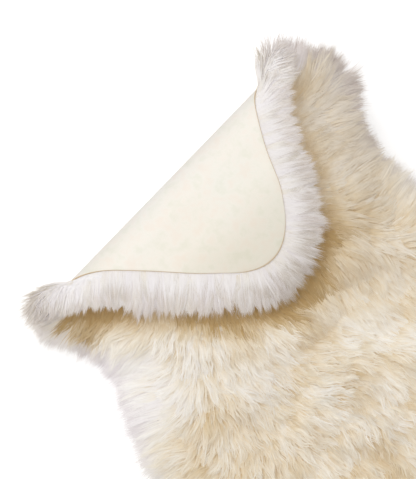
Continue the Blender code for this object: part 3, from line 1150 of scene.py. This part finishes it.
def mottled(place, scale, detail, roughness=0.5):
    sockets = {"Vector": place, "Scale": scale, "Detail": detail, "Roughness": roughness}
    return addNode(place.id_data, "ShaderNodeTexNoise", sockets).outputs[0]


def bumped(shader, height, strength, distance):
    sockets = {"Height": height, "Strength": strength, "Distance": distance}
    plug(addNode(shader.id_data, "ShaderNodeBump", sockets).outputs[0], shader.inputs["Normal"])


def warmOf(tone):
    return number("MULTIPLY", minus(warmth["below"], tone), warmth["strength"], clamp=True)


strandFinish = {
    "roughness": 0.9,
    "sheen": 0.15,
    # darker and tanner towards the root: the roots' own tan and painted shade deep among the strands
    "root": ((0.0, (0.80, 0.68, 0.50)), (0.35, (0.95, 0.90, 0.82)), (0.7, white)),
    "rootShade": (0.3, 0.3, 0.3),  # how much of the shade shows at the root
    "tipFrom": 0.6,
}
fleeceColours = {
    "fleece": {"dark": (0.70, 0.64, 0.57), "tip": white, "shadeFrom": 0.0},
    # the neck's wool darkens towards its tips: painted shade of the hollow beneath them
    "neckFleece": {"dark": (0.55, 0.50, 0.44), "tip": (0.88, 0.83, 0.75), "shadeFrom": 0.4},
}


def fleeceMaterial(name):
    colours = fleeceColours[name]
    material, shader = newMaterial(name, strandFinish["roughness"], strandFinish["sheen"])
    tree = material.node_tree
    tone, along = fact(tree, "tone"), fact(tree, "alongStrand")
    colour = blend("MULTIPLY", warmOf(tone), rampOf(tone, woolColours), rampOf(along, strandFinish["root"]))
    # the stored shade darkens the strands: partly the locks' own lighter and darker tone, partly painted
    # shade in the crease, partings, clump edges and some patches
    shade = rampOf(fact(tree, "shade"), ((0.0, colours["dark"]), (1.0, white)))
    shadeShare = rampOf(along, ((colours["shadeFrom"], strandFinish["rootShade"]), (1.0, white)))
    colour = blend("MULTIPLY", shadeShare, colour, shade)
    # towards the tip the colour goes to the tip colour, which on the neck's wool is painted shade
    tip = rampOf(along, ((strandFinish["tipFrom"], white), (1.0, colours["tip"])))
    plug(blend("MULTIPLY", 1.0, colour, tip), shader.inputs["Base Color"])
    return material


underFinish = {
    "roughness": 0.95,
    "fibres": (260.0, 3.0),  # scale and detail
    "clumps": (34.0, 2.0),
    "fibreLight": ((0.3, (0.9, 0.9, 0.9)), (0.7, white)),
    "clumpColours": ((0.3, (0.90, 0.86, 0.78)), (0.7, (1.0, 0.98, 0.95))),
    "bump": (0.6, 0.002),  # strength and distance
}


def underWoolMaterial():
    material, shader = newMaterial("underWool", underFinish["roughness"])
    tree = material.node_tree
    place = addNode(tree, "ShaderNodeTexCoord").outputs["Object"]
    fibres, clumps = mottled(place, *underFinish["fibres"]), mottled(place, *underFinish["clumps"])
    tone = fact(tree, "tone")
    deep = rampOf(clumps, underFinish["clumpColours"])
    tan = blend("MULTIPLY", warmOf(tone), rampOf(tone, woolColours), deep)
    light = rampOf(fibres, underFinish["fibreLight"])
    plug(blend("MULTIPLY", 1.0, tan, light), shader.inputs["Base Color"])
    bumped(shader, fibres, *underFinish["bump"])
    return material


leather = {
    "roughness": 0.82,
    "sheen": 0.1,
    "broadSize": (9.0, 2.0),  # scale and detail, and roughness
    "mottleSize": (42.0, 3.0, 0.6),
    "grainSize": (900.0, 2.0),
    "bump": (0.35, 0.0006),
    "broad": ((0.30, (0.836, 0.790, 0.696)), (0.5, (0.849, 0.806, 0.723)), (0.70, (0.839, 0.812, 0.735))),
    "spots": ((0.35, (0.945, 0.96, 0.93)), (0.5, white), (0.65, (1.0, 0.965, 0.95))),
    # painted shade: darker on the rounded fold, lightest just past it and darker towards the tip, where the
    # flap dips away from the light
    "foldToTipShade": (
        (0.0, (0.82, 0.83, 0.87)), (0.3, (0.99, 0.99, 1)), (0.55, (0.97, 0.965, 0.96)),
        (0.8, (0.85, 0.84, 0.81)), (1.0, (0.80, 0.79, 0.75)),
    ),
    "cutEdge": (0.62, 0.46, 0.27, 1),
    "cutEdgeShare": 0.9,
    "cutEdgePower": 0.7,
}


def leatherMaterial():
    material, shader = newMaterial("tannedHide", leather["roughness"], leather["sheen"])
    tree = material.node_tree
    place = fact(tree, "peltPlace", "Vector")
    mottle, grain = mottled(place, *leather["mottleSize"]), mottled(place, *leather["grainSize"])
    colour = rampOf(mottled(place, *leather["broadSize"]), leather["broad"])
    colour = blend("MULTIPLY", 1.0, colour, rampOf(mottle, leather["spots"]))
    # painted shade along the flap, from the fold to its tip
    towardsTip = number("MULTIPLY", parts(place)[0], -1.0 / flapLength, clamp=True)
    colour = blend("MULTIPLY", 1.0, colour, rampOf(towardsTip, leather["foldToTipShade"]))
    edge = times(number("POWER", fact(tree, "cutEdge"), leather["cutEdgePower"]), leather["cutEdgeShare"])
    plug(blend("MIX", edge, colour, leather["cutEdge"]), shader.inputs["Base Color"])
    bumped(shader, timesPlus(mottle, 0.5, times(grain, 0.5)), *leather["bump"])
    return material


# The pieces.
hideShape, hideArea = hideMesh()
hideShape.materials.append(leatherMaterial())
hidePiece = finishedPiece("hideSheet", hideShape, "hide")
print("hide", round(hideArea, 4), "square metres")

underShape = underWoolMesh()
underShape.materials.append(underWoolMaterial())
print("under wool", len(underShape.polygons), "faces")

bundles = {key: strandBundle("strands" + key, bundle[key]) for key in ("straight", "wavy")}
tree = lockTree()
finishes = {name: fleeceMaterial(name) for name in fleeceColours}
for pieceName, settings in woolPieces.items():
    finish = finishes["neckFleece" if pieceName == "neckWool" else "fleece"]
    growLocks(pieceName, settings, underShape, bundles, tree, finish)
for item in bundles.values():
    bpy.data.objects.remove(item)
underShape = underShape.copy()
keepFacts(underShape, "tone")
finishedPiece("underWool", underShape, "wool")
print("wool grown")

# Floor, light and camera.
studio = {
    "floorSize": 6.0,
    "floorHeight": -0.0005,
    "worldLight": 0.55,
    "worldSeen": 0.98,
    "key": {"place": (-0.5, 2.0, 2.2), "size": 2.6, "power": 36.0, "shadow": True},
    "fill": {"place": (0.6, -0.6, 3.4), "size": 2.4, "power": 44.0, "shadow": False},
}
floorMesh = bpy.data.meshes.new("floor")
far, low = studio["floorSize"], studio["floorHeight"]
corners = [(-far, -far, low), (far, -far, low), (far, far, low), (-far, far, low)]
floorMesh.from_pydata(corners, [], [(0, 1, 2, 3)])
floorMaterial, floorShader = newMaterial("paleFloor", 0.9)
floorShader.inputs["Base Color"].default_value = (1, 1, 1, 1)
floorMesh.materials.append(floorMaterial)
floor = newObject("floor", floorMesh)

for name in ("key", "fill"):
    light = studio[name]
    data = bpy.data.lights.new(name, "AREA")
    data.size = light["size"]
    data.energy = light["power"]
    data.use_shadow = light["shadow"]
    lamp = newObject(name, data)
    lamp.location = light["place"]
    lamp.rotation_euler = (-Vector(light["place"])).to_track_quat("-Z", "Y").to_euler()

world = bpy.data.worlds.new("studio")
world.use_nodes = True
background = world.node_tree.nodes["Background"]
background.inputs["Color"].default_value = (1, 1, 1, 1)
seenDirectly = addNode(world.node_tree, "ShaderNodeLightPath").outputs["Is Camera Ray"]
strength = timesPlus(seenDirectly, studio["worldSeen"] - studio["worldLight"], studio["worldLight"])
plug(strength, background.inputs["Strength"])
bpy.context.scene.world = world
bpy.context.scene.view_settings.view_transform = "Standard"
bpy.context.scene.cycles.diffuse_bounces = 8

photo = {
    "azimuth": math.radians(-46.9),
    "elevation": math.radians(78),
    "distance": 2.4,
    "lens": 122.1,
    "aim": (-0.0075, 0.0412, 0.0437),  # from the fold line's middle on the floor
    "offset": (0.0635, -0.082),
}
around, down = photo["azimuth"], photo["elevation"]
look = Vector((-math.sin(around) * math.cos(down), math.cos(around) * math.cos(down), -math.sin(down)))
right = Vector((math.cos(around), math.sin(around), 0))
up = right.cross(look)
aim = Vector((foldX, foldY, 0)) + Vector(photo["aim"])
cameraData = bpy.data.cameras.new("camera")
cameraData.lens = photo["lens"]
camera = newObject("camera", cameraData)
camera.location = aim - look * photo["distance"] + right * photo["offset"][0] + up * photo["offset"][1]
camera.rotation_euler = look.to_track_quat("-Z", "Y").to_euler()
bpy.context.scene.camera = camera
print("floor, light and camera set")
